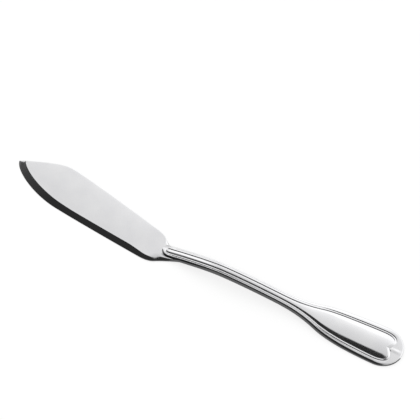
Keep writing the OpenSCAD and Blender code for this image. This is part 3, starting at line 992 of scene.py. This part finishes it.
def polished_stainless_steel(finish):
    # 18/10 stainless steel, mirror polished on a soft wheel: bright neutral reflections, with
    # hairline buffing marks that run along the knife, patches of about 11 mm where the polish is
    # dull, and painted shade, with duller polish, in the grooves, on the flat neck beside the stem
    # and in the corner between the stem and the neck
    material, tree = new_material("polished_stainless_steel")
    if tree is None:
        return material
    place = add_node(tree, "TexCoord").outputs["Object"]
    spacing = finish.scratch_spacing
    lines = add_node(
        tree, "Mapping", Vector=place,
        Scale=(LINE_WIDTH_SHARE / spacing, 1 / spacing, 1 / spacing),
    ).outputs[0]
    buffing = add_node(tree, "TexNoise", Vector=lines, Scale=1.0, Detail=3.0, Roughness=0.6)
    dull = add_node(tree, "TexNoise", Vector=place, Scale=90.0, Detail=3.0).outputs[0]
    patches = add_node(tree, "MapRange", Value=dull, From_Min=0.35, From_Max=0.75).outputs[0]
    polished = add_node(
        tree, "Mix", {"data_type": "RGBA"},
        _0=patches, _6=linear(finish.steel), _7=linear(finish.smudge),
    ).outputs[2]
    # Painted shade: this mask darkens the steel towards the groove colour and blurs its polish
    dull_and_painted_shade = add_node(tree, "Attribute", {"attribute_name": "dull_and_painted_shade"}).outputs["Fac"]
    painted_shade_tone = add_node(
        tree, "Mix", {"data_type": "RGBA"},
        _0=dull_and_painted_shade, _6=polished, _7=linear(finish.groove),
    ).outputs[2]
    dulled = add_node(tree, "Math", {"operation": "MAXIMUM"}, _0=patches, _1=dull_and_painted_shade).outputs[0]
    blur = add_node(
        tree, "MapRange", Value=dulled,
        To_Min=finish.roughness, To_Max=finish.roughness * DULL_BLUR,
    ).outputs[0]
    bump = add_node(
        tree, "Bump", Height=buffing.outputs[0], Distance=finish.scratch_depth, Strength=0.35
    ).outputs[0]
    shader = add_node(
        tree, "BsdfPrincipled", Base_Color=painted_shade_tone, Metallic=1.0, Roughness=blur, Normal=bump
    ).outputs[0]
    add_node(tree, "OutputMaterial", Surface=shader)
    return material


def seen(tree):
    """1 for what the camera, a reflection or a glass sees, 0 for light that falls on a surface."""
    ray = add_node(tree, "LightPath").outputs
    gloss = add_node(
        tree, "Math", {"operation": "MAXIMUM"},
        _0=ray["Is Camera Ray"], _1=ray["Is Glossy Ray"],
    ).outputs[0]
    return add_node(
        tree, "Math", {"operation": "MAXIMUM"}, _0=gloss, _1=ray["Is Transmission Ray"]
    ).outputs[0]


TABLE_GLOW_SHARE = 0.75


def pale_table(studio):
    # Matt white laminate with a grain of about 1 mm: it takes the light softly and keeps the
    # knife's shadow, made fainter by the glow that the camera sees
    material, tree = new_material("white_laminate")
    if tree is None:
        return material
    place = add_node(tree, "TexCoord").outputs["Object"]
    grain = add_node(tree, "TexNoise", Vector=place, Scale=900.0, Detail=2.0)
    bump = add_node(
        tree, "Bump", Height=grain.outputs[0], Strength=0.05, Distance=0.2 * MM
    ).outputs[0]
    surface = add_node(
        tree, "BsdfPrincipled", Base_Color=linear(studio.table), Roughness=0.8, Normal=bump
    ).outputs[0]
    glow = add_node(tree, "Emission", Color=linear(WHITE), Strength=1.0).outputs[0]
    lift = add_node(
        tree, "Math", {"operation": "MULTIPLY"}, _0=seen(tree), _1=TABLE_GLOW_SHARE
    ).outputs[0]
    both = add_node(tree, "MixShader", _0=lift, _1=surface, _2=glow).outputs[0]
    add_node(tree, "OutputMaterial", Surface=both)
    return material


# Brightness of the light tent by direction, in shares of its strength. Two measures give a
# direction. Across goes from the camera's side (0) over the top to the far side (1), and along from
# the side of the blade's point (0) to the side of the handle's end (1)
TENT_STRENGTH = 1.5
TENT_ACROSS = (0.387, 0.922, 0.0)
# Across: dark opening on the camera's side, then the white nylon, brighter towards the far side
TENT_SHARES = (
    (0.0, 0.1),
    (0.08, 0.02),
    (0.485, 0.02),
    (0.515, 0.515),
    (0.55, 0.56),
    (0.65, 0.633),
    (0.71, 0.713),
    (0.765, 0.86),
    (0.825, 0.967),
    (1.0, 1.0),
)
# Across, added to that measure low over the side of the blade's point, where the tent is lit
SIDE_SHARES = ((0.45, 0.08), (0.475, 0.5), (0.6, 0.5), (0.67, 0.0))
SIDE_RUN = (-0.3, -0.5)
# Across, at both ends of the opening: grey nylon, so that the knife isn't black from behind
END_SHARES = ((0.0, 0.2), (0.11, 0.16), (0.17, 0.0))
END_RUN = (0.42, 0.58)
# Along: the band that the blade reflects in the photograph's view, and how much brighter it is
BLADE_SHARES = ((0.28, 0.0), (0.35, 1.0), (0.4, 1.0), (0.44, 0.0))
BLADE_SHINE = 0.15
# Along: the least brightness, which is that of the opening
OPENING_SHARES = (
    (0.0, 0.16),
    (0.125, 0.093),
    (0.18, 0.044),
    (0.32, 0.012),
    (0.66, 0.012),
    (0.75, 0.5),
)


def tent_brightness(tree, value, shares):
    """How bright the tent is along a value that runs from -1 to 1. The shares are places from 0
    to 1, each with its brightness."""
    position = add_node(tree, "MapRange", Value=value, From_Min=-1.0, From_Max=1.0).outputs[0]
    ramp = add_node(tree, "ValToRGB", Fac=position)
    points = ramp.color_ramp.elements
    for n, (at, bright) in enumerate(shares):
        point = points[n] if n < 2 else points.new(at)
        point.position = at
        point.color = (bright, bright, bright, 1)
    return ramp.outputs[0]


def light_tent(studio):
    # White nylon of a light tent, lit from outside on its far side, with the dark opening that
    # the camera looks through; the opening is greyer towards the side of the blade's point
    material, tree = new_material("tent_nylon")
    if tree is None:
        return material
    place = add_node(tree, "TexCoord").outputs["Object"]
    way = add_node(tree, "VectorMath", {"operation": "NORMALIZE"}, _0=place).outputs[0]
    across = add_node(
        tree, "VectorMath", {"operation": "DOT_PRODUCT"}, _0=way, _1=TENT_ACROSS
    ).outputs["Value"]
    along = add_node(tree, "SeparateXYZ", _0=way).outputs[0]
    side = add_node(
        tree, "MapRange", Value=along, From_Min=SIDE_RUN[0], From_Max=SIDE_RUN[1]
    ).outputs[0]
    wide = add_node(
        tree, "Math", {"operation": "MULTIPLY_ADD"},
        _0=side, _1=tent_brightness(tree, across, SIDE_SHARES), _2=across,
    ).outputs[0]
    from_middle = add_node(tree, "Math", {"operation": "ABSOLUTE"}, _0=along).outputs[0]
    at_end = add_node(
        tree, "MapRange", Value=from_middle, From_Min=END_RUN[0], From_Max=END_RUN[1]
    ).outputs[0]
    ends = add_node(
        tree, "Math", {"operation": "MULTIPLY"},
        _0=at_end, _1=tent_brightness(tree, across, END_SHARES),
    ).outputs[0]
    opening = add_node(
        tree, "Math", {"operation": "MAXIMUM"},
        _0=tent_brightness(tree, along, OPENING_SHARES), _1=ends,
    ).outputs[0]
    bright = add_node(
        tree, "Mix", {"data_type": "RGBA", "blend_type": "LIGHTEN"}, _0=1.0,
        _6=tent_brightness(tree, wide, TENT_SHARES), _7=opening,
    ).outputs[2]
    strength = add_node(
        tree, "Math", {"operation": "MULTIPLY_ADD"},
        _0=tent_brightness(tree, along, BLADE_SHARES), _1=BLADE_SHINE, _2=TENT_STRENGTH,
    ).outputs[0]
    glow = add_node(tree, "Emission", Color=bright, Strength=strength).outputs[0]
    add_node(tree, "OutputMaterial", Surface=glow)
    return material


def reflected_shade_card(studio):
    # Grey sheet laid under the knife and seen only in reflections: painted shade of the table
    # beside the knife, which darkens what the knife's sides reflect of the white table
    material, tree = new_material("reflected_shade_board")
    if tree is None:
        return material
    glow = add_node(tree, "Emission", Color=linear(studio.shade_card)).outputs[0]
    add_node(tree, "OutputMaterial", Surface=glow)
    return material


# The studio: the height and turn in degrees of the grey sheet that paints shade into the
# knife's reflections, the softboxes with their places, sizes and watts, the strength of the light
# from all round, and the photograph's own view
CARD_HEIGHT = 0.05 * MM
CARD_TURN = -3.5
LAMPS = (
    ("key_softbox", (-0.6, 0.5, 1.2), 1.2, 9.0),
    ("fill_softbox", (0.9, -0.4, 1.1), 1.0, 4.0),
)
AIR_STRENGTH = 0.75
CAMERA_PLACE = (0.216886, -0.437326, 1.001338)
CAMERA_TURN = (27.184, 0, 26.136)


class KNIFE_OT_add_studio(bpy.types.Operator):
    """Adds the table, the light tent, the lamps and the camera"""

    bl_idname = "knife.add_studio"
    bl_label = "Add studio"

    def execute(self, context):
        scene = context.scene
        studio = scene.knife_studio
        bpy.ops.object.select_all(action="DESELECT")
        bpy.ops.mesh.primitive_plane_add(size=2.5 * studio.tent_radius)
        table = context.object
        table.name = "table"
        table.data.materials.append(pale_table(studio))
        half = studio.tent_radius
        turn = math.radians(CARD_TURN)
        bpy.ops.mesh.primitive_plane_add(
            size=2 * half,
            location=(half * math.sin(turn), -half * math.cos(turn), CARD_HEIGHT),
            rotation=(0, 0, turn),
        )
        shade_card = context.object
        shade_card.name = "reflected_shade_card"
        shade_card.data.materials.append(reflected_shade_card(studio))
        # Seen only in reflections, where it is painted shade of the table beside the knife
        shade_card.visible_camera = shade_card.visible_diffuse = shade_card.visible_shadow = False
        bpy.ops.mesh.primitive_uv_sphere_add(segments=64, ring_count=32, radius=studio.tent_radius)
        tent = context.object
        tent.name = "light_tent"
        bpy.ops.object.mode_set(mode="EDIT")
        bpy.ops.mesh.bisect(plane_co=(0, 0, 0), plane_no=(0, 0, 1), clear_inner=True)
        bpy.ops.object.mode_set(mode="OBJECT")
        tent.data.materials.append(light_tent(studio))
        tent.visible_camera = tent.visible_diffuse = tent.visible_shadow = False
        for name, place, size, power in LAMPS:
            bpy.ops.object.light_add(type="AREA", location=place)
            lamp = context.object
            lamp.name = name
            lamp.rotation_euler = (-Vector(place)).to_track_quat("-Z", "Y").to_euler()
            lamp.data.size = size
            lamp.data.energy = power
            lamp.visible_glossy = False
        world = bpy.data.worlds.new("white_room")
        scene.world = world
        world.use_nodes = True
        tree = world.node_tree
        tree.nodes.clear()
        air = add_node(tree, "Background", Color=linear(WHITE), Strength=AIR_STRENGTH).outputs[0]
        white = add_node(tree, "Background", Color=linear(WHITE), Strength=1.0).outputs[0]
        both = add_node(tree, "MixShader", _0=seen(tree), _1=air, _2=white).outputs[0]
        add_node(tree, "OutputWorld", Surface=both)
        bpy.ops.object.camera_add(
            location=CAMERA_PLACE, rotation=[math.radians(a) for a in CAMERA_TURN]
        )
        camera = context.object
        camera.name = "camera"
        camera.data.lens = studio.lens
        camera.data.sensor_width = 36
        camera.data.clip_end = 20
        scene.camera = camera
        scene.view_settings.view_transform = "Standard"
        return {"FINISHED"}


class KNIFE_PT_panel(bpy.types.Panel):
    """Steps that make the knife"""

    bl_label = "Fish knife"
    bl_space_type = "VIEW_3D"
    bl_region_type = "UI"
    bl_category = "Knife"

    def draw(self, context):
        for operator in OPERATORS:
            self.layout.operator(operator.bl_idname)


GROUPS = {
    "knife_blade": BladeSizes,
    "knife_handle": HandleSizes,
    "knife_thread": ThreadSizes,
    "knife_finish": SteelFinish,
    "knife_studio": StudioSettings,
}
OPERATORS = (KNIFE_OT_add_blade, KNIFE_OT_add_handle, KNIFE_OT_add_studio)
CLASSES = (*GROUPS.values(), *OPERATORS, KNIFE_PT_panel)


def register():
    for one in CLASSES:
        bpy.utils.register_class(one)
    for name, group in GROUPS.items():
        setattr(bpy.types.Scene, name, bpy.props.PointerProperty(type=group))


def unregister():
    for name in GROUPS:
        delattr(bpy.types.Scene, name)
    for one in reversed(CLASSES):
        bpy.utils.unregister_class(one)


def main():
    register()
    bpy.ops.knife.add_blade()
    bpy.ops.knife.add_handle()
    bpy.ops.knife.add_studio()


if __name__ == "__main__":
    main()
